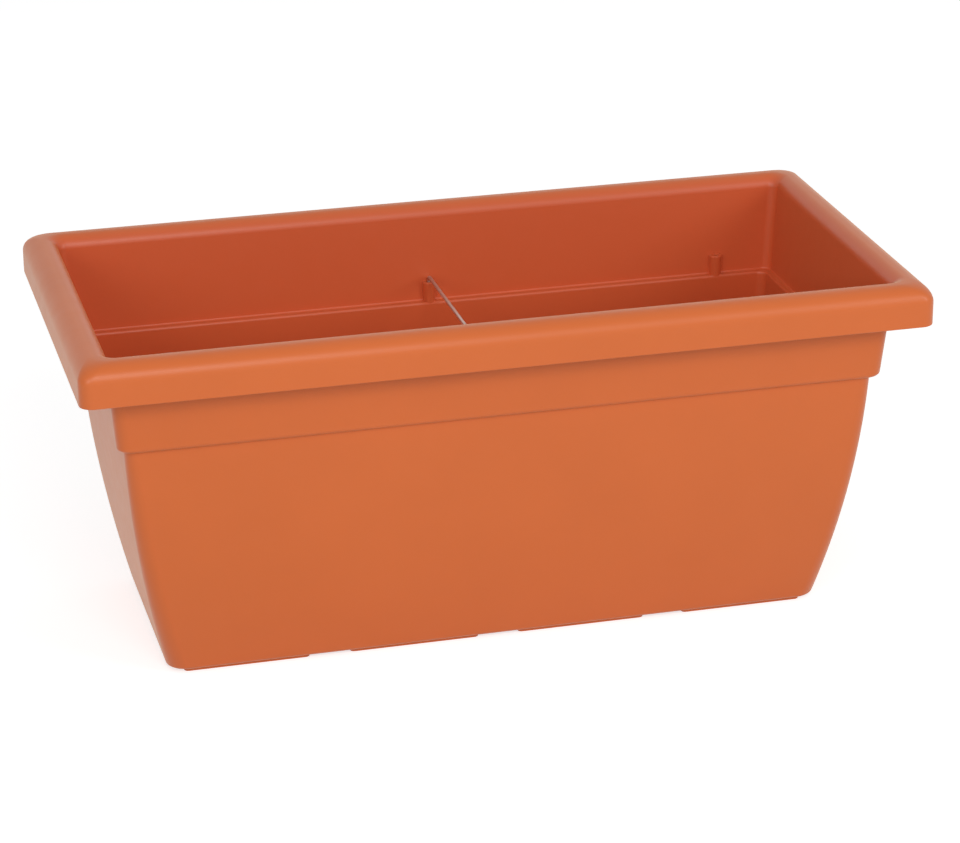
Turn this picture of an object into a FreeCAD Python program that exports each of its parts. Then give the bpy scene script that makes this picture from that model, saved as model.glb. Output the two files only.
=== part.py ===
import FreeCAD, Part
import Sketcher
import math
import os

# Rectangular plant trough: one thin moulding with a rolled rim, a collar under it, bowed
# sides and low foot pads, and a bent steel tie wire that holds its long sides together.
# Millimetres. +X runs along the trough, +Y to its back and +Z up. The origin is on the
# ground, under the middle of the trough. A depth is measured down from the rim's crown,
# and an inset is measured inwards from the rim's outline, seen from above.

SIZES = {
    "length": 800,             # rim, end to end
    "width": 394,              # rim, front to back
    "height": 345,             # ground to the rim's crown
    "wall": 3,                 # every wall of the moulding
    # rim
    "skirt": 39,               # depth of the skirt's lower edge
    "skirt_edge": 1,           # rounding of that edge
    "outer_round": 17,         # skirt's outer face in to the crown
    "outer_drop": 17,          # and the crown down to the skirt's outer face
    "inner_drop": 14,          # crown down to the inner wall
    "crown_land": 2,           # flat along the crown
    "skirt_corner": 12,        # corner radius of the skirt, seen from above
    "crown_corner": 18,        # and of the crown
    # collar, the band of wall under the rim
    "collar_gap": 31,          # inset of the collar at the depth of the skirt's lower edge
    "collar_slope": 0.09,      # its lean inwards, per mm of depth
    "collar_depth": 100,       # depth of its lower edge
    "collar_edge": 5,          # rounding of that edge
    "ledge_edge": 2,           # rounding of the ledge inside it
    "wall_corner": 12,         # corner radius of the collar and of the body's top
    # body
    "step": 7,                 # collar in to the body
    "base_inset": 36.5,        # body's top in to its base
    "bulge": 6.5,              # how far the sides bow out half way down
    "base_corner": 18,         # corner radius of the base
    "base_edge": 5,            # rounding of its lower edge
    # foot pads, and the channels between them with their drain holes
    "foot_height": 4,
    "foot_side_inset": 6,      # pads in from the base's long edges
    "foot_end_inset": 15,      # and from its ends
    "foot_corner": 4,
    "channel_width": 39,
    "channel_spacing": 165,
    "drain_diameter": 10,
    "drain_spacing": 75,
    # posts on the ledge
    "post_diameter": 12.5,
    "post_height": 20,
    "post_spacing": 302,       # middle post to end post
    "post_edge_gap": 0.2,      # post back from the ledge's inner edge
    "bore_diameter": 4.3,
    "bore_depth": 14,
    # tie wire
    "wire_diameter": 3.5,
    "wire_rise": 5.6,          # tops of the posts up to the wire's centre line
    "wire_bend": 5,            # radius of its bends, on the centre line
    "wire_tip_edge": 0.5,      # chamfer of its tips
    "wire_seat_gap": 0.3,      # bottom of the bore up to the tip
}
ROUND_ANGLES = (0, 15, 30, 45, 60, 75, 90)
SMALL_ROUND_ANGLES = ROUND_ANGLES[::2]
BODY_SHARES = [step / 6 for step in range(7)]      # rings of the body, top to base
END_POSTS = ((1, 1), (-1, -1))     # sides of X and Y: back right, and front left
MIDDLE_POSTS = ((0, 1), (0, -1))

doc = FreeCAD.newDocument("trough")
sheet = doc.addObject("Spreadsheet::Sheet", "Sizes")
for row, (alias, number) in enumerate(SIZES.items(), start=1):
    sheet.set(f"A{row}", alias)
    sheet.set(f"B{row}", str(number))
    sheet.setAlias(f"B{row}", alias)
doc.recompute()


def bound(expression):
    """An expression in the sheet's words, as the objects of the document read it."""
    words = expression.replace("(", " ( ").replace(")", " ) ").split()
    return " ".join(f"Sizes.{word}" if word in SIZES else word for word in words)


def value(expression):
    return sheet.evalExpression(bound(expression))


def made(kind, name, **expressions):
    """A new object with its sizes tied to the sheet; a__b is the property a.b."""
    thing = doc.addObject(kind, name)
    for prop, expression in expressions.items():
        thing.setExpression(prop.replace("__", "."), bound(expression))
    return thing


# ---- where the walls are -------------------------------------------------------------

CROWN_END = "( outer_round + crown_land )"
LEDGE_DEPTH = "( collar_depth - wall )"
BASE_DEPTH = "( height - foot_height )"
FLOOR_SHARE = f"( 1 - wall / ( {BASE_DEPTH} - collar_depth ) )"


def collar_inset(depth):
    return f"( collar_gap + ( {depth} - skirt ) * collar_slope )"


def body_inset(share):
    bow = f"4 * bulge * {share} * ( 1 - {share} )"
    return f"( {collar_inset('collar_depth')} + step + base_inset * {share} - {bow} )"


def body_ring(share, wall="0"):
    """Inset, depth and corner of the body's face, or of its inside, one wall further in."""
    return (
        f"( {body_inset(share)} + {wall} )",
        f"( collar_depth + {share} * ( {BASE_DEPTH} - collar_depth ) )",
        f"( wall_corner + ( base_corner - wall_corner ) * {share} - {wall} )",
    )


def quarter_round(foot, crown, angles=ROUND_ANGLES):
    """Rings from a foot, where the round is upright, to a crown, where it is level."""
    rings = []
    for angle in angles:
        out = round(1 - math.cos(math.radians(angle)), 5)
        up = round(math.sin(math.radians(angle)), 5)
        shares = (out, up, out)
        rings.append(tuple(
            f"( {low} + ( {high} - {low} ) * {share} )"
            for low, high, share in zip(foot, crown, shares)
        ))
    return rings


# ---- sketches and solids -------------------------------------------------------------

def constrain(sketch, kind, *places, to=None):
    number = sketch.addConstraint(Sketcher.Constraint(kind, *places))
    if to:
        sketch.setExpression(f"Constraints[{number}]", bound(to))


def ring(name, half_length, half_width, depth, corner, middle="0"):
    """A level rounded rectangle, drawn at one size and then set by its constraints."""
    edge, radius = 100.0, 10.0
    start = edge - radius
    sides = (
        ((edge, -start), (edge, start)),
        ((start, edge), (-start, edge)),
        ((-edge, start), (-edge, -start)),
        ((-start, -edge), (start, -edge)),
    )
    sketch = made("Sketcher::SketchObject", name,
                  Placement__Base__x=middle, Placement__Base__z=f"height - {depth}")
    for turn, (first, last) in enumerate(sides):
        sketch.addGeometry(Part.LineSegment(FreeCAD.Vector(*first), FreeCAD.Vector(*last)))
        angle = turn * math.pi / 2
        x, y = (math.copysign(start, trig(angle + math.pi / 4)) for trig in (math.cos, math.sin))
        circle = Part.Circle(FreeCAD.Vector(x, y), FreeCAD.Vector(0, 0, 1), radius)
        sketch.addGeometry(Part.ArcOfCircle(circle, angle, angle + math.pi / 2))
    for turn in range(4):
        line, arc = 2 * turn, 2 * turn + 1
        constrain(sketch, "Tangent", line, 2, arc, 1)
        constrain(sketch, "Tangent", arc, 2, (arc + 1) % 8, 1)
        constrain(sketch, "Horizontal" if turn % 2 else "Vertical", line)
        if turn:
            constrain(sketch, "Equal", 1, arc)
    constrain(sketch, "Radius", 1, radius, to=corner)
    constrain(sketch, "DistanceX", -1, 1, 0, 1, edge, to=half_length)
    constrain(sketch, "DistanceX", 4, 1, -1, 1, edge, to=half_length)
    constrain(sketch, "DistanceY", -1, 1, 2, 1, edge, to=half_width)
    constrain(sketch, "DistanceY", 6, 1, -1, 1, edge, to=half_width)
    return sketch


def loft(name, sketches, straight=True, solid=True):
    skin = made("Part::Loft", name)
    skin.Sections = sketches
    skin.Solid = solid
    skin.Ruled = straight
    return skin


def fuse(name, *solids):
    union = made("Part::MultiFuse", name)
    union.Shapes = list(solids)
    return union


def cut(name, base, tool):
    rest = made("Part::Cut", name)
    rest.Base, rest.Tool = base, tool
    return rest


# ---- trough: one wall, from the middle of the base round the rim to the floor -----------
# a ring is an inset, a depth and a corner radius; each stretch of the wall is a skin over
# rings, and the level stretches between them are flat faces

THROAT_CORNER = "( wall_corner - wall )"
HOLLOW_CORNER = "( skirt_corner - wall )"
INNER_EDGE = "( collar_edge - wall )"
FLOOR_EDGE = "( base_edge - wall )"
RECESS_FOOT = f"( {LEDGE_DEPTH} - {INNER_EDGE} )"
BASE_FOOT_SHARE = f"( 1 - base_edge / ( {BASE_DEPTH} - collar_depth ) )"
FLOOR_FOOT_SHARE = f"( {FLOOR_SHARE} - {FLOOR_EDGE} / ( {BASE_DEPTH} - collar_depth ) )"


def foot_and_flat(inset, depth, corner, edge):
    """The rings that a level edge is rounded between: up the wall, and in on the flat."""
    return (inset, f"( {depth} - {edge} )", corner), (
        f"( {inset} + {edge} )", depth, f"( {corner} - {edge} )")


body = [body_ring(share) for share in BODY_SHARES]
well = [body_ring(share, "wall") for share in (*BODY_SHARES[:-1], FLOOR_SHARE)]
base_foot, base_flat = foot_and_flat(body_inset(BASE_FOOT_SHARE), *body[-1][1:], "base_edge")
floor_foot, floor_flat = foot_and_flat(
    f"( {body_inset(FLOOR_FOOT_SHARE)} + wall )", *well[-1][1:], FLOOR_EDGE)
collar_foot, collar_flat = foot_and_flat(
    collar_inset("( collar_depth - collar_edge )"), "collar_depth", "wall_corner", "collar_edge")
recess_foot, recess_flat = foot_and_flat(
    f"( {collar_inset(RECESS_FOOT)} + wall )", LEDGE_DEPTH, THROAT_CORNER, INNER_EDGE)
neck = (collar_inset("inner_drop"), "inner_drop", "wall_corner")
hollow_in = (CROWN_END, "wall", "crown_corner")
hollow_out = ("outer_round", "wall", "crown_corner")
hollow_foot = ("wall", "outer_drop", HOLLOW_CORNER)
skirt_inside = ("wall", "skirt", HOLLOW_CORNER)
skirt_low = ("skirt_edge", "skirt", "( skirt_corner - skirt_edge )")
skirt_foot = ("0", "( skirt - skirt_edge )", "skirt_corner")
skirt_top = ("0", "outer_drop", "skirt_corner")
crown_out = ("outer_round", "0", "crown_corner")
crown_in = (CROWN_END, "0", "crown_corner")
throat = (f"( {collar_inset('inner_drop')} + wall )", "inner_drop", THROAT_CORNER)
ledge_in = (f"( {body_inset(0)} + wall - ledge_edge )", LEDGE_DEPTH, THROAT_CORNER)

# the leaning walls of the body and the well join their rounds a step above the upright
base_round = quarter_round(base_foot, base_flat, SMALL_ROUND_ANGLES)[1:]
floor_round = quarter_round(floor_foot, floor_flat, SMALL_ROUND_ANGLES)[1:]
stretches = (
    ("base_round", base_round, True),
    ("body", [*body[:-1], base_round[0]], True),
    ("collar_round", quarter_round(collar_foot, collar_flat, SMALL_ROUND_ANGLES), True),
    ("collar", [collar_foot, neck], True),
    ("inner_round_underside", quarter_round(neck, hollow_in), True),
    ("outer_round_underside", quarter_round(hollow_foot, hollow_out), True),
    ("skirt_inside", [hollow_foot, skirt_inside], True),
    ("skirt_edge", [skirt_low, skirt_foot], True),
    ("skirt_outside", [skirt_foot, skirt_top], True),
    ("outer_round", quarter_round(skirt_top, crown_out), False),
    ("inner_round", quarter_round(throat, crown_in), False),
    ("recess", [throat, recess_foot], True),
    ("recess_round", quarter_round(recess_foot, recess_flat, SMALL_ROUND_ANGLES), True),
    ("ledge_round", quarter_round(well[0], ledge_in, SMALL_ROUND_ANGLES), True),
    ("well", [*well[:-1], floor_round[0]], True),
    ("floor_round", floor_round, True),
)
flats = (       # level faces inside a ring, or between two
    [base_flat],
    [body[0], collar_flat],
    [hollow_in, hollow_out],
    [skirt_inside, skirt_low],
    [crown_out, crown_in],
    [recess_flat, ledge_in],
    [floor_flat],
)
drawn = {}


def wall_ring(inset, depth, corner):
    place = (inset, depth, corner)
    if place not in drawn:
        drawn[place] = ring(f"wall_ring_{len(drawn)}", f"length / 2 - {inset}",
                            f"width / 2 - {inset}", depth, corner)
    return drawn[place]


skins = [
    loft(f"wall_{name}", [wall_ring(*place) for place in rings], straight, solid=False)
    for name, rings, straight in stretches
]
bounds = [[wall_ring(*place) for place in rings] for rings in flats]
doc.recompute()
faces = [face for skin in skins for face in skin.Shape.Faces]
for sketches in bounds:
    wires = [sketch.Shape.Wires[0] for sketch in sketches]
    faces += Part.makeFace(wires, "Part::FaceMakerBullseye").Faces
sewn = Part.Compound(faces)
sewn.sewShape()
wall = made("Part::Feature", "wall")     # no feature of the document closes skins to a solid
wall.Shape = Part.Solid(sewn.Shells[0])
if wall.Shape.Volume < 0:
    wall.Shape = wall.Shape.reversed()


# ---- trough: foot pads, hollow from above ------------------------------------------------

pad_end = f"( length / 2 - {body_inset(1)} - foot_end_inset )"
pad_side = f"( width / 2 - {body_inset(1)} - foot_side_inset )"
near, far = "( channel_spacing - channel_width / 2 )", "( channel_spacing + channel_width / 2 )"


def pad_block(name, start, end, side, shrink, low, high):
    """A block of a pad's outline, shrunk by a wall or not, from one height to another."""
    half, middle = f"( {end} - {start} ) / 2 - {shrink}", f"{side} * ( {end} + {start} ) / 2"
    return loft(name, [
        ring(f"{name}_{level}", half, f"{pad_side} - {shrink}", f"( height - {height} )",
             f"foot_corner - {shrink}", middle)
        for level, height in (("low", low), ("high", high))
    ])


pads, pockets = [], []
for side, hand in ((-1, "left"), (1, "right")):
    for place, start, end in (("inner", "channel_width / 2", near), ("outer", far, pad_end)):
        pads.append(pad_block(f"pad_{place}_{hand}", start, end, side, "0",
                              "0", "( foot_height + wall / 2 )"))
        pockets.append(pad_block(f"pocket_{place}_{hand}", start, end, side, "wall",
                                 "wall", "( foot_height + 2 * wall )"))


# ---- trough: posts on the ledge, with their bores, and drain holes -----------------------

POST_Y = f"( width / 2 - {body_inset(0)} - wall + post_edge_gap + post_diameter / 2 )"
POST_TOP = f"( height - {LEDGE_DEPTH} + post_height )"


def peg(name, diameter, top, length, x, y):
    """An upright cylinder given by its top."""
    return made("Part::Cylinder", name, Radius=f"{diameter} / 2", Height=length,
                Placement__Base__x=x, Placement__Base__y=y,
                Placement__Base__z=f"{top} - {length}")


pegs, bores = [], []
for x_side, y_side in (*MIDDLE_POSTS, *END_POSTS):
    x, y = f"{x_side} * post_spacing", f"{y_side} * {POST_Y}"
    rooted = "( post_height + wall / 2 )"
    pegs.append(peg(f"peg_{len(pegs)}", "post_diameter", POST_TOP, rooted, x, y))
    bores.append(peg(f"bore_{len(bores)}", "bore_diameter", POST_TOP, "bore_depth", x, y))
drains = [
    peg(f"drain_{3 * row + line}", "drain_diameter", "( foot_height + 2 * wall )", "3 * wall",
        f"{row - 1} * channel_spacing", f"{line - 1} * drain_spacing")
    for row in range(3) for line in range(3)
]
# a post runs into the collar no deeper than the middle of its wall
collar_middle = loft("collar_middle", [
    ring(f"collar_middle_{level}", f"length / 2 - {inset} - wall / 2",
         f"width / 2 - {inset} - wall / 2", depth, "wall_corner")
    for level, inset, depth in (
        ("low", collar_inset("collar_depth"), "collar_depth"), ("high", *neck[:2]))
])
posts = made("Part::MultiCommon", "posts")
posts.Shapes = [collar_middle, fuse("pegs", *pegs)]

solid = fuse("wall_pads_and_posts", wall, posts, *pads)
trough = cut("trough", solid, fuse("holes", *pockets, *bores, *drains))


# ---- tie wire ------------------------------------------------------------------------
# drawn about the middle of its run, then lifted on to the posts

LEG = "( wire_rise + bore_depth - wire_seat_gap )"
BEND_Y = f"( {POST_Y} - wire_bend )"
ON_SIDE = FreeCAD.Rotation(FreeCAD.Vector(1, 1, 1), 120)      # X to Y, Y to Z
ALONG_Y = FreeCAD.Rotation(FreeCAD.Vector(1, 0, 0), -90)      # Z to Y

run = made("Part::Cylinder", "wire_run", Radius="wire_diameter / 2", Height=f"2 * {BEND_Y}",
           Placement__Base__y=f"0 - {BEND_Y}")
run.Placement.Rotation = ALONG_Y
lengths = [run]
for side, turn, hand in ((-1, 90, "front"), (1, 0, "back")):
    lengths.append(made("Part::Cylinder", f"wire_leg_{hand}", Radius="wire_diameter / 2",
                        Height=f"{LEG} - wire_bend", Placement__Base__y=f"{side} * {POST_Y}",
                        Placement__Base__z=f"0 - {LEG}"))
    bend = made("Part::Torus", f"wire_bend_{hand}", Radius1="wire_bend",
                Radius2="wire_diameter / 2", Placement__Base__y=f"{side} * {BEND_Y}",
                Placement__Base__z="0 - wire_bend")
    bend.Angle3 = 90
    quarter = FreeCAD.Rotation(FreeCAD.Vector(0, 0, 1), turn)
    bend.Placement.Rotation = ON_SIDE.multiply(quarter)
    lengths.append(bend)
rod = fuse("wire_rod", *lengths)
doc.recompute()
tie_wire = made("Part::Chamfer", "tie_wire")
tie_wire.Base = rod
tip_edge = value("wire_tip_edge")
tie_wire.Edges = [
    (number, tip_edge, tip_edge)
    for number, edge in enumerate(rod.Shape.Edges, start=1)
    if all(abs(end.Z + value(LEG)) < 1e-3 for end in edge.Vertexes)
]
tie_wire.setExpression("Placement.Base.z", bound(f"{POST_TOP} + wire_rise"))


# ---- check and export ----------------------------------------------------------------

doc.recompute()
for thing in doc.Objects:
    if {"Invalid", "Error"} & set(thing.State):
        raise RuntimeError(f"{thing.Name} is {thing.State}")
    if hasattr(thing, "Shape") and (thing.Shape.isNull() or not thing.Shape.isValid()):
        raise RuntimeError(f"{thing.Name} has a bad shape")
os.makedirs("parts", exist_ok=True)
for piece in (trough, tie_wire):
    if len(piece.Shape.Solids) != 1:
        raise RuntimeError(f"{piece.Label} is {len(piece.Shape.Solids)} solids")
    piece.Shape.exportStep(f"parts/{piece.Label}.step")
    box = piece.Shape.BoundBox
    print(piece.Label, "x", round(box.XMin, 2), round(box.XMax, 2), "y", round(box.YMin, 2),
          round(box.YMax, 2), "z", round(box.ZMin, 2), round(box.ZMax, 2),
          "litres", round(piece.Shape.Volume / 1e6, 3))
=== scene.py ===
import math

import bpy
import numpy as np
from mathutils import Matrix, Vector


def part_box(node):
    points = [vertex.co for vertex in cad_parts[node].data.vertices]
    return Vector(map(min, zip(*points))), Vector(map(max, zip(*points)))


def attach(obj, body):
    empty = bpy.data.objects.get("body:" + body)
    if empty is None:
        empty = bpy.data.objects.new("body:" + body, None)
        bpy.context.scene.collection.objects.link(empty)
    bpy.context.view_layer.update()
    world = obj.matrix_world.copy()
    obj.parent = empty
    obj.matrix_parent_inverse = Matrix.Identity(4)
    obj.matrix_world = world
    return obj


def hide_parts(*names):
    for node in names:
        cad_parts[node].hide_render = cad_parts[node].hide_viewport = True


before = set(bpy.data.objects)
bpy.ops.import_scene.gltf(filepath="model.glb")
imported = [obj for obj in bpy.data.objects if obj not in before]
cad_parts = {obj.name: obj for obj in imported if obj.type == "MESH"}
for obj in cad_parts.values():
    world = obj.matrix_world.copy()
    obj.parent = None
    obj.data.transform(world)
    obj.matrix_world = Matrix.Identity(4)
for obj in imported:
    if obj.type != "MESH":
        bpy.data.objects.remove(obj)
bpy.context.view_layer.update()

# ---- trough: the moulded shell -----------------------------------------------------------
# The real trough is one thin polypropylene moulding: a rolled rim that is open below, a
# collar, bowed sides and a flat base. One profile of the wall is carried round rounded
# rectangles, so the shell closes on itself and its corners tighten and open as moulded.

MM = 0.001
(left_end, front_side, ground), (right_end, back_side, crown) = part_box("trough")
LENGTH, WIDTH, HEIGHT = right_end - left_end, back_side - front_side, crown - ground
WALL = 3 * MM
SKIRT_DEPTH, SKIRT_CORNER, SKIRT_EDGE = 39 * MM, 12 * MM, 1 * MM
ROLL_OUT, ROLL_DROP, ROLL_LAND, THROAT_DROP = 17 * MM, 17 * MM, 2 * MM, 14 * MM
CROWN_CORNER = 18 * MM
COLLAR_GAP, COLLAR_LEAN, COLLAR_DEPTH, COLLAR_EDGE = 31 * MM, 0.09, 100 * MM, 5 * MM
WALL_CORNER, LEDGE_EDGE, SMALLEST_CORNER = 12 * MM, 2 * MM, 0.5 * MM
STEP, BASE_INSET, BULGE = 7 * MM, 36.5 * MM, 6.5 * MM
BASE_CORNER, BASE_EDGE, FOOT_HEIGHT = 18 * MM, 5 * MM, 4 * MM
LEDGE_DEPTH = COLLAR_DEPTH - WALL
BASE_DEPTH = HEIGHT - FOOT_HEIGHT
FLAT_RUN = 50 * MM  # how far along a flat its direction is taken; any length does
ARC_STEPS, CORNER_STEPS, LONG_STEPS, SHORT_STEPS, BODY_STEPS = 10, 14, 40, 20, 28


def collar_inset(depth):
    return COLLAR_GAP + (depth - SKIRT_DEPTH) * COLLAR_LEAN


def body_inset(share):
    """The body's inset at a share of its height: a slanted line less a parabola's bow."""
    return collar_inset(COLLAR_DEPTH) + STEP + BASE_INSET * share - 4 * BULGE * share * (1 - share)


def body_corner(share):
    return WALL_CORNER + (BASE_CORNER - WALL_CORNER) * share


def body_stretch(first, last, wall):
    """Points down the body's face, from one share of its height to another."""
    share = np.linspace(first, last, BODY_STEPS)
    depth = COLLAR_DEPTH + share * (BASE_DEPTH - COLLAR_DEPTH)
    return np.column_stack((body_inset(share) + wall, depth, body_corner(share) - wall))


def roll(foot, top):
    """A quarter ellipse from a foot, where it is upright, to a top, where it is level."""
    foot, top = np.array(foot), np.array(top)
    angle = np.linspace(0, math.pi / 2, 2 * ARC_STEPS + 1)
    share = np.column_stack((1 - np.cos(angle), np.sin(angle), 1 - np.cos(angle)))
    return foot + (top - foot) * share


def rounded(before, corner, after, radius):
    """The arc that rounds a corner of the profile, tangent to both of its straight sides."""
    before, corner, after = (np.array(point) for point in (before, corner, after))
    back, on = before[:2] - corner[:2], after[:2] - corner[:2]
    back, on = back / np.linalg.norm(back), on / np.linalg.norm(on)
    half = math.acos(np.clip(back @ on, -1, 1)) / 2
    middle = (back + on) / np.linalg.norm(back + on)
    centre = corner[:2] + middle * radius / math.sin(half)
    start = corner[:2] + back * radius / math.tan(half) - centre
    end = corner[:2] + on * radius / math.tan(half) - centre
    share = np.linspace(0, 1, ARC_STEPS + 1)[:, None]
    sweep = math.pi - 2 * half
    points = (start * np.sin((1 - share) * sweep) + end * np.sin(share * sweep)) / math.sin(sweep)
    return np.column_stack((centre + points, np.full(ARC_STEPS + 1, corner[2])))


def rounded_rectangle():
    """Unit data of a ring: the share of each half side, and of the corner radius, in X and Y."""
    turn = np.linspace(0, math.pi / 2, CORNER_STEPS + 1)
    side_x, side_y, arc_x, arc_y = [], [], [], []
    signs = ((1, 1), (-1, 1), (-1, -1), (1, -1))
    for quarter, (x, y) in enumerate(signs):
        angle = turn + quarter * math.pi / 2
        next_x, next_y = signs[(quarter + 1) % 4]
        steps = LONG_STEPS if next_x != x else SHORT_STEPS
        run = np.linspace(0, 1, steps + 1)[1:-1]
        side_x.append(np.concatenate((np.full_like(turn, x), x + (next_x - x) * run)))
        side_y.append(np.concatenate((np.full_like(turn, y), y + (next_y - y) * run)))
        arc_x.append(np.concatenate((np.cos(angle), np.full_like(run, np.cos(angle[-1])))))
        arc_y.append(np.concatenate((np.sin(angle), np.full_like(run, np.sin(angle[-1])))))
    return [np.concatenate(part) for part in (side_x, side_y, arc_x, arc_y)]


def carried_round(profile, half_length, half_width, middle=0.0):
    """A profile of insets, depths and corner radii carried round rounded rectangles.

    x = (half length - inset - corner) * side + corner * cos, and y the same with the width.
    """
    side_x, side_y, arc_x, arc_y = rounded_rectangle()
    inset, depth, corner = profile.T[:, :, None]
    corner = np.maximum(corner, SMALLEST_CORNER)
    x = middle + (half_length - inset - corner) * side_x + corner * arc_x
    y = (half_width - inset - corner) * side_y + corner * arc_y
    z = crown - depth + 0 * x
    return np.stack((x, y, z), axis=-1)


def closed_shell(name, rings):
    """A mesh over the rings, in order, with its first and last ring closed by a flat face."""
    count, around = rings.shape[:2]
    ring, step = np.meshgrid(np.arange(count - 1), np.arange(around), indexing="ij")
    after = (step + 1) % around
    quads = np.stack((ring * around + step, ring * around + after,
                      (ring + 1) * around + after, (ring + 1) * around + step), axis=-1)
    faces = quads.reshape(-1, 4).tolist()
    faces.append(list(range(around))[::-1])
    faces.append(list(range((count - 1) * around, count * around)))
    mesh = bpy.data.meshes.new(name)
    mesh.from_pydata(rings.reshape(-1, 3).tolist(), [], faces)
    mesh.validate()
    piece = bpy.data.objects.new(name, mesh)
    bpy.context.scene.collection.objects.link(piece)
    return piece


def wall_profile():
    """The whole section of the wall: up its outside, over the rim and down its inside."""
    outside = body_stretch(1, 0, 0)
    inside = body_stretch(0, 1 - WALL / (BASE_DEPTH - COLLAR_DEPTH), WALL)
    base_out, base_in = outside[0], inside[-1]
    inwards = np.array((FLAT_RUN, 0, 0))
    collar_low = (collar_inset(COLLAR_DEPTH), COLLAR_DEPTH, WALL_CORNER)
    neck = (collar_inset(THROAT_DROP), THROAT_DROP, WALL_CORNER)
    hollow_foot = (WALL, ROLL_DROP, SKIRT_CORNER - WALL)
    skirt_low = (0, SKIRT_DEPTH, SKIRT_CORNER)
    skirt_top = (0, ROLL_DROP, SKIRT_CORNER)
    land_end = ROLL_OUT + ROLL_LAND
    throat = (neck[0] + WALL, THROAT_DROP, WALL_CORNER - WALL)
    recess_low = (collar_inset(LEDGE_DEPTH) + WALL, LEDGE_DEPTH, WALL_CORNER - WALL)
    ledge_end = inside[0] - np.array((LEDGE_EDGE, WALL, 0))
    stretches = (
        rounded(base_out + inwards, base_out, outside[1], BASE_EDGE),
        outside[1:],
        rounded(outside[-1], collar_low, neck, COLLAR_EDGE),
        roll(neck, (land_end, WALL, CROWN_CORNER)),
        roll(hollow_foot, (ROLL_OUT, WALL, CROWN_CORNER))[::-1],
        [(WALL, SKIRT_DEPTH, SKIRT_CORNER - WALL)],
        rounded((WALL, SKIRT_DEPTH, 0), skirt_low, skirt_top, SKIRT_EDGE),
        roll(skirt_top, (ROLL_OUT, 0, CROWN_CORNER)),
        roll(throat, (land_end, 0, CROWN_CORNER))[::-1],
        rounded(throat, recess_low, ledge_end, COLLAR_EDGE - WALL),
        roll(inside[0], ledge_end)[::-1],
        inside[1:-1],
        rounded(inside[-2], base_in, base_in + inwards, BASE_EDGE - WALL),
    )
    return np.vstack(stretches)


shell = closed_shell("trough_shell", carried_round(wall_profile(), LENGTH / 2, WIDTH / 2))


# ---- trough: foot pads, posts, bores and drain holes ---------------------------------------
# Four hollow pads lie under the base with channels between them, where the drain holes are.
# Round posts stand on the ledge with a blind bore down each, for the ends of a tie wire.

FOOT_SIDE_INSET, FOOT_END_INSET, FOOT_CORNER, FOOT_EDGE = 6 * MM, 15 * MM, 4 * MM, 0.8 * MM
CHANNEL_WIDTH, CHANNEL_SPACING = 39 * MM, 165 * MM
DRAIN_DIAMETER, DRAIN_SPACING = 10 * MM, 75 * MM
POST_DIAMETER, POST_HEIGHT, POST_SPACING = 12.5 * MM, 20 * MM, 302 * MM
POST_EDGE_GAP, BORE_DIAMETER, BORE_DEPTH = 0.2 * MM, 4.3 * MM, 14 * MM
POST_BEVEL, BORE_BEVEL = 0.8 * MM, 0.4 * MM
SHARP_ANGLE, FACE_WEIGHT = math.radians(35), 80
post_radius, bore_radius, drain_radius = POST_DIAMETER / 2, BORE_DIAMETER / 2, DRAIN_DIAMETER / 2
base_z, ledge_z = ground + FOOT_HEIGHT, crown - LEDGE_DEPTH
post_top = ledge_z + POST_HEIGHT
post_y = WIDTH / 2 - body_inset(0) - WALL + POST_EDGE_GAP + post_radius
pad_half_width = WIDTH / 2 - body_inset(1) - FOOT_SIDE_INSET
pad_end = LENGTH / 2 - body_inset(1) - FOOT_END_INSET
channel_near, channel_far = CHANNEL_SPACING - CHANNEL_WIDTH / 2, CHANNEL_SPACING + CHANNEL_WIDTH / 2
pads = ((-pad_end, -channel_far), (-channel_near, -CHANNEL_WIDTH / 2),
        (CHANNEL_WIDTH / 2, channel_near), (channel_far, pad_end))
posts = ((0, post_y), (0, -post_y), (POST_SPACING, post_y), (-POST_SPACING, -post_y))


def turned(name, profile, x, y, around=48):
    """A closed round solid: a profile of radii and heights turned about an upright axis.

    It starts half a step on. With vertices on the axes the boolean left a drain hole closed.
    """
    angle = (np.arange(around) + 0.5) * 2 * math.pi / around
    radius, z = np.array(profile).T[:, :, None]
    rings = np.stack((x + radius * np.cos(angle), y + radius * np.sin(angle),
                      z + 0 * angle), axis=-1)
    return closed_shell(name, rings)


def taken(body, tool, operation):
    """The body joined to the tool, cut by it or kept within it; the tool is thrown away."""
    modifier = body.modifiers.new(tool.name, "BOOLEAN")
    modifier.operation, modifier.solver, modifier.object = operation, "EXACT", tool
    bpy.context.view_layer.update()
    graph = bpy.context.evaluated_depsgraph_get()
    result = bpy.data.meshes.new_from_object(body.evaluated_get(graph))
    body.modifiers.clear()
    body.data = result
    bpy.data.objects.remove(tool)


def pad_block(name, start, end, shrink, low, high):
    """A rounded block between two places along X, with its lower edge rounded."""
    depth_low, depth_high = crown - low, crown - high
    corner = FOOT_CORNER - shrink
    low_edge = rounded((FLAT_RUN, depth_low, corner), (0, depth_low, corner),
                       (0, depth_high, corner), FOOT_EDGE)
    profile = np.vstack((low_edge, [(0, depth_high, corner)]))
    rings = carried_round(profile, (end - start) / 2 - shrink, pad_half_width - shrink,
                          (start + end) / 2)
    return closed_shell(name, rings)


def collar_middle():
    """A block that ends half way through the collar's wall."""
    profile = np.array([(collar_inset(depth) + WALL / 2, depth, WALL_CORNER)
                        for depth in (COLLAR_DEPTH, THROAT_DROP)])
    return closed_shell("collar_middle", carried_round(profile, LENGTH / 2, WIDTH / 2))


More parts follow.
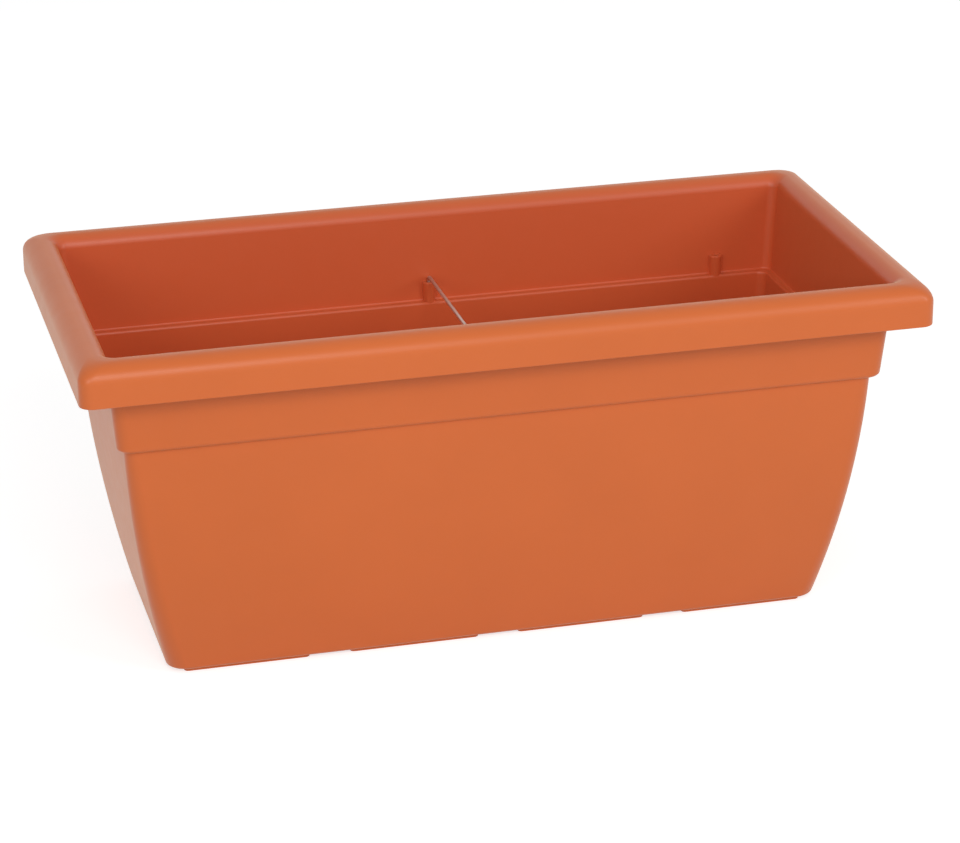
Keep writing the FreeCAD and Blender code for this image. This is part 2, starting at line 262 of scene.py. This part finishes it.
for start, end in pads:
    taken(shell, pad_block("pad", start, end, 0, ground, base_z + WALL / 2), "UNION")
    pocket = pad_block("pocket", start, end, WALL, ground + WALL, base_z + 2 * WALL)
    taken(shell, pocket, "DIFFERENCE")
for x, y in posts:
    post = turned("post", ((post_radius, ledge_z - WALL / 2), (post_radius, post_top - POST_BEVEL),
                           (post_radius - POST_BEVEL, post_top)), x, y)
    # a post runs into the collar no deeper than the middle of its wall
    taken(post, collar_middle(), "INTERSECT")
    taken(shell, post, "UNION")
    mouth_radius = bore_radius + BORE_BEVEL
    bore = turned("bore", ((bore_radius, post_top - BORE_DEPTH), (bore_radius, post_top - BORE_BEVEL),
                           (mouth_radius, post_top), (mouth_radius, post_top + WALL)), x, y)
    taken(shell, bore, "DIFFERENCE")
for row in (-1, 0, 1):
    for line in (-1, 0, 1):
        drain = turned("drain", ((drain_radius, ground), (drain_radius, ground + 4 * WALL)),
                       row * CHANNEL_SPACING, line * DRAIN_SPACING)
        taken(shell, drain, "DIFFERENCE")
shell.data.shade_smooth()
shell.data.set_sharp_from_angle(angle=SHARP_ANGLE)
normals = shell.modifiers.new("even_shading", "WEIGHTED_NORMAL")
normals.keep_sharp = True
normals.weight = FACE_WEIGHT


# ---- the finish of the moulding: terracotta polypropylene ----------------------------------
# Injection-moulded polypropylene, mass-dyed terracotta. The blasted cavity gives the outside
# a satin face with a slight grain that pales where light grazes it. The inside faces are
# painted a deeper, redder terracotta: painted shade for the shade that falls inside the trough.

TERRACOTTA, TERRACOTTA_DEEP = "#da6d30", "#d2682c"
# the deeper, redder terracotta of the inside faces is painted shade
TERRACOTTA_PAINTED_SHADE = "#d25e34"
BLOOM = "#f4d890"
FLOW_MARK, GLOSS_CLOUD, WALL_WAVE, GRAIN = 90 * MM, 14 * MM, 75 * MM, 0.9 * MM
WAVE_HEIGHT, GRAIN_HEIGHT = 0.6 * MM, 0.12 * MM


def linear(code):
    """The linear colour of an sRGB hex code."""
    parts = [int(code[i:i + 2], 16) / 255 for i in (1, 3, 5)]
    return [c / 12.92 if c <= 0.04045 else ((c + 0.055) / 1.055) ** 2.4 for c in parts] + [1]


def node(tree, kind, links=(), inputs=(), **settings):
    """One node, with its links, its inputs' values and its properties."""
    made = tree.nodes.new(kind)
    for name, value in settings.items():
        setattr(made, name, value)
    for name, value in dict(inputs).items():
        made.inputs[name].default_value = value
    for name, source in dict(links).items():
        tree.links.new(source, made.inputs[name])
    return made


def new_material(name):
    material = bpy.data.materials.new(name)
    material.use_nodes = True
    material.node_tree.nodes.clear()
    return material, material.node_tree


def depth_inside(x, y, inset, corner):
    """How far a point lies inside the rounded rectangle of an inset and a corner radius."""
    past_x, past_y = x - (LENGTH / 2 - inset - corner), y - (WIDTH / 2 - inset - corner)
    beyond = np.hypot(np.maximum(past_x, 0), np.maximum(past_y, 0))
    return corner - beyond - np.minimum(np.maximum(past_x, past_y), 0)


# the share of painted shade: full on the inside faces, none on the outside
def painted_inside_shade(points):
    """1 on the inside faces, where shade is painted, 0 outside, fading over the rim's inner round."""
    x, y, z = np.abs(points).T
    depth = crown - z
    share = np.clip((depth - COLLAR_DEPTH) / (BASE_DEPTH - COLLAR_DEPTH), 0, 1)
    face = np.where(depth > LEDGE_DEPTH + WALL / 2, body_inset(share), collar_inset(depth))
    over_pad = np.any([(x > start) & (x < end) for start, end in pads], axis=0)
    over_pad &= y < pad_half_width - WALL / 2
    floor_depth = np.where(over_pad, HEIGHT, BASE_DEPTH) - WALL / 2
    inside = (depth_inside(x, y, face, body_corner(share)) > WALL / 2) & (depth < floor_depth)
    round_width = collar_inset(THROAT_DROP) + WALL - ROLL_OUT - ROLL_LAND
    past_land = depth_inside(x, y, ROLL_OUT + ROLL_LAND, CROWN_CORNER)
    fade = np.clip(past_land / round_width, 0, 1)
    top = THROAT_DROP * (1 - np.sqrt(1 - fade ** 2))
    return np.where(depth > THROAT_DROP, inside, fade * (depth < top + WALL / 2))


def moulded_polypropylene():
    """Faint flow marks in the colour and gloss, painted shade inside, wavy thin walls and a
    blasted-steel grain.
    """
    material, tree = new_material("terracotta_polypropylene_moulded")
    place = node(tree, "ShaderNodeTexCoord").outputs["Object"]
    flow = node(tree, "ShaderNodeTexNoise", {"Vector": place},
                {"Scale": 1 / FLOW_MARK, "Detail": 3.0, "Roughness": 0.5})
    outside = node(tree, "ShaderNodeMix", {"Factor": flow.outputs["Fac"]},
                   {"A": linear(TERRACOTTA_DEEP), "B": linear(TERRACOTTA)}, data_type="RGBA")
    # the inside faces are mixed to a deeper, redder terracotta: painted shade
    side = node(tree, "ShaderNodeAttribute", attribute_name="painted_inside_shade").outputs["Fac"]
    colour = node(tree, "ShaderNodeMix", {"Factor": side, "A": outside.outputs["Result"]},
                  {"B": linear(TERRACOTTA_PAINTED_SHADE)}, data_type="RGBA")
    clouds = node(tree, "ShaderNodeTexNoise", {"Vector": place},
                  {"Scale": 1 / GLOSS_CLOUD, "Detail": 4.0, "Roughness": 0.6})
    gloss = node(tree, "ShaderNodeMapRange", {"Value": clouds.outputs["Fac"]},
                 {"To Min": 0.31, "To Max": 0.42})
    sag = node(tree, "ShaderNodeTexNoise", {"Vector": place},
               {"Scale": 1 / WALL_WAVE, "Detail": 1.0})
    waves = node(tree, "ShaderNodeBump", {"Height": sag.outputs["Fac"]},
                 {"Strength": 0.35, "Distance": WAVE_HEIGHT})
    grain = node(tree, "ShaderNodeTexNoise", {"Vector": place},
                 {"Scale": 1 / GRAIN, "Detail": 2.0, "Roughness": 0.6})
    bump = node(tree, "ShaderNodeBump",
                {"Height": grain.outputs["Fac"], "Normal": waves.outputs["Normal"]},
                {"Strength": 0.14, "Distance": GRAIN_HEIGHT})
    shader = node(tree, "ShaderNodeBsdfPrincipled",
                  {"Base Color": colour.outputs["Result"], "Normal": bump.outputs["Normal"],
                   "Roughness": gloss.outputs["Result"]},
                  {"IOR": 1.46, "Sheen Weight": 0.28, "Sheen Roughness": 0.3,
                   "Sheen Tint": linear(BLOOM)})
    node(tree, "ShaderNodeOutputMaterial", {"Surface": shader.outputs["BSDF"]})
    return material


# a per-point share of the shade painted on the inside faces
inside_shade_layer = shell.data.attributes.new("painted_inside_shade", "FLOAT", "POINT")
points = np.empty(3 * len(shell.data.vertices))
shell.data.vertices.foreach_get("co", points)
inside_shade_layer.data.foreach_set("value", painted_inside_shade(points.reshape(-1, 3)).astype(np.float32))
shell.data.materials.clear()
shell.data.materials.append(moulded_polypropylene())
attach(shell, "trough")
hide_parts("trough")


# ---- tie wire --------------------------------------------------------------------------------
# A length of zinc-coated steel wire with both ends bent down. The ends drop into the middle
# posts and keep the long sides from spreading when the trough is full.

WIRE_DIAMETER, WIRE_RISE, WIRE_BEND = 3.5 * MM, 5.6 * MM, 5 * MM
WIRE_TIP_EDGE, WIRE_SEAT_GAP, BEND_STEPS = 0.5 * MM, 0.3 * MM, 12
ZINC = "#c9c0b8"
DRAW_MARK, DRAW_STRETCH = 0.6 * MM, 0.05


def wire_route():
    """Points up one leg, round its bend, across to the other bend and down that leg."""
    run_z = post_top + WIRE_RISE
    tip = post_top - BORE_DEPTH + WIRE_SEAT_GAP
    angle = np.linspace(math.pi, math.pi / 2, BEND_STEPS + 1)
    bend_y = -post_y + WIRE_BEND + WIRE_BEND * np.cos(angle)
    bend_z = run_z - WIRE_BEND + WIRE_BEND * np.sin(angle)
    leg_z = np.array((tip, tip + WIRE_TIP_EDGE))
    y = np.concatenate((np.full(2, -post_y), bend_y))
    z = np.concatenate((leg_z, bend_z))
    return np.column_stack((np.append(y, -y[::-1]), np.append(z, z[::-1])))


def wire_mesh(around=24):
    """A circle carried along the route, which lies in the YZ plane, with chamfered tips."""
    route = wire_route()
    along = np.gradient(route, axis=0)
    along[0], along[1] = (0, 1), (0, 1)
    along[-1], along[-2] = (0, -1), (0, -1)
    along /= np.linalg.norm(along, axis=1)[:, None]
    radius = np.full(len(route), WIRE_DIAMETER / 2)
    radius[[0, -1]] -= WIRE_TIP_EDGE
    angle = np.arange(around) * 2 * math.pi / around
    across = radius[:, None] * np.cos(angle)
    aside = radius[:, None] * np.sin(angle)
    y = route[:, :1] - along[:, 1:] * aside
    z = route[:, 1:] + along[:, :1] * aside
    return closed_shell("tie_wire_rod", np.stack((across, y, z), axis=-1))


def drawn_zinc_wire():
    """Dull zinc with faint marks drawn out along the run."""
    material, tree = new_material("zinc_coated_steel_wire_drawn")
    place = node(tree, "ShaderNodeTexCoord").outputs["Object"]
    stretch = node(tree, "ShaderNodeMapping", {"Vector": place}, {"Scale": (1, DRAW_STRETCH, 1)})
    draw = node(tree, "ShaderNodeTexNoise", {"Vector": stretch.outputs["Vector"]},
                {"Scale": 1 / DRAW_MARK, "Detail": 2.0})
    rough = node(tree, "ShaderNodeMapRange", {"Value": draw.outputs["Fac"]},
                 {"To Min": 0.32, "To Max": 0.5})
    shader = node(tree, "ShaderNodeBsdfPrincipled", {"Roughness": rough.outputs["Result"]},
                  {"Base Color": linear(ZINC), "Metallic": 1.0})
    node(tree, "ShaderNodeOutputMaterial", {"Surface": shader.outputs["BSDF"]})
    return material


wire = wire_mesh()
wire.data.materials.append(drawn_zinc_wire())
wire.data.shade_smooth()
wire.data.set_sharp_from_angle(angle=SHARP_ANGLE)
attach(wire, "tie_wire")
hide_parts("tie_wire")


# ---- floor and white room ------------------------------------------------------------------
# A plain pale floor in an even white room, as in a light tent. Both look white to the eye and
# in reflections, and the floor keeps the trough's faint shadow.

FLOOR_HALF = 6.0
FLOOR_COLOUR, FLOOR_LIFT = "#d8d8d8", "#d6d6d6"
ROOM_LIGHT = 0.42


def seen_directly(tree):
    """1 for a ray from the eye, off a gloss or through a clear piece, 0 for one that lights."""
    path = node(tree, "ShaderNodeLightPath").outputs
    seen = node(tree, "ShaderNodeMath", {0: path["Is Camera Ray"], 1: path["Is Glossy Ray"]},
                operation="MAXIMUM")
    seen = node(tree, "ShaderNodeMath", {0: seen.outputs[0], 1: path["Is Transmission Ray"]},
                operation="MAXIMUM")
    return seen.outputs[0]


def pale_floor():
    """A matt floor that is lifted to white where it is seen."""
    material, tree = new_material("pale_studio_floor")
    matt = node(tree, "ShaderNodeBsdfDiffuse", (), {"Color": linear(FLOOR_COLOUR)})
    lift = node(tree, "ShaderNodeEmission", {"Strength": seen_directly(tree)},
                {"Color": linear(FLOOR_LIFT)})
    both = node(tree, "ShaderNodeAddShader", {0: matt.outputs[0], 1: lift.outputs[0]})
    node(tree, "ShaderNodeOutputMaterial", {"Surface": both.outputs[0]})
    return material


floor_mesh = bpy.data.meshes.new("floor")
corners = [(x * FLOOR_HALF, y * FLOOR_HALF, ground) for x, y in ((-1, -1), (1, -1), (1, 1), (-1, 1))]
floor_mesh.from_pydata(corners, [], [(0, 1, 2, 3)])
floor_mesh.materials.append(pale_floor())
studio_floor = bpy.data.objects.new("floor", floor_mesh)
bpy.context.scene.collection.objects.link(studio_floor)


def white_room():
    """A white room: full strength to the eye and in reflections, less as a light."""
    world = bpy.data.worlds.new("white_room")
    world.use_nodes = True
    tree = world.node_tree
    tree.nodes.clear()
    strength = node(tree, "ShaderNodeMapRange", {"Value": seen_directly(tree)},
                    {"To Min": ROOM_LIGHT, "To Max": 1.0})
    back = node(tree, "ShaderNodeBackground", {"Strength": strength.outputs["Result"]},
                {"Color": (1, 1, 1, 1)})
    node(tree, "ShaderNodeOutputWorld", {"Surface": back.outputs[0]})
    return world


bpy.context.scene.world = white_room()


# ---- lamps -----------------------------------------------------------------------------------
# Three square soft lamps stand above and in front of the trough: one to its left, one ahead
# of it and one to its right.

LAMP_SIZE, LAMP_AIM = 1.2, (0, 0, 0.2)


def set_frame(holder, right, up, back, place):
    """Turns an object so that its X, Y and Z point right, up and back, and sets its place."""
    rows = np.vstack((np.column_stack((right, up, back, place)), (0, 0, 0, 1)))
    holder.matrix_world = Matrix(rows.tolist())


def soft_lamp(name, place, watts):
    """A square lamp that faces the trough."""
    lamp = bpy.data.lights.new(name, "AREA")
    lamp.shape, lamp.size, lamp.energy = "SQUARE", LAMP_SIZE, watts
    holder = bpy.data.objects.new(name, lamp)
    bpy.context.scene.collection.objects.link(holder)
    away = np.array(place) - np.array(LAMP_AIM)
    away = away / np.linalg.norm(away)
    side = np.cross((0, 0, 1), away)
    side = side / np.linalg.norm(side)
    set_frame(holder, side, np.cross(away, side), away, place)


soft_lamp("lamp_left", (-2.0, -2.5, 1.5), 18.5)
soft_lamp("lamp_front", (-0.2, -2.9, 1.8), 24)
soft_lamp("lamp_right", (2.0, -2.2, 1.5), 20.5)


# ---- camera ----------------------------------------------------------------------------------
# A pinhole camera where the photograph's stood: its angles in degrees, its distance and shifts
# in metres from the middle of the crown, and its focal length in the photograph's pixels.

AZIMUTH, ELEVATION, ROLL = (math.radians(angle) for angle in (14.48, 21.92, -0.39))
CAMERA_DISTANCE, CAMERA_SHIFT_X, CAMERA_SHIFT_Z = 3.144, 0.0123, -0.1555
FRAME_WIDTH, FOCAL_PIXELS, SENSOR = 960, 3304.2, 36.0

look = np.array((math.sin(AZIMUTH) * math.cos(ELEVATION),
                 math.cos(AZIMUTH) * math.cos(ELEVATION), -math.sin(ELEVATION)))
level_right = np.array((math.cos(AZIMUTH), -math.sin(AZIMUTH), 0))
level_up = np.cross(level_right, look)
right = math.cos(ROLL) * level_right + math.sin(ROLL) * level_up
up = -math.sin(ROLL) * level_right + math.cos(ROLL) * level_up
place = right * CAMERA_SHIFT_X + up * CAMERA_SHIFT_Z - look * CAMERA_DISTANCE
camera_data = bpy.data.cameras.new("camera")
camera_data.sensor_width, camera_data.sensor_fit = SENSOR, "HORIZONTAL"
camera_data.lens = FOCAL_PIXELS / FRAME_WIDTH * SENSOR
camera = bpy.data.objects.new("camera", camera_data)
bpy.context.scene.collection.objects.link(camera)
set_frame(camera, right, up, -look, place + np.array((0, 0, crown)))
bpy.context.scene.camera = camera
bpy.context.scene.view_settings.view_transform = "Standard"

bpy.context.view_layer.update()
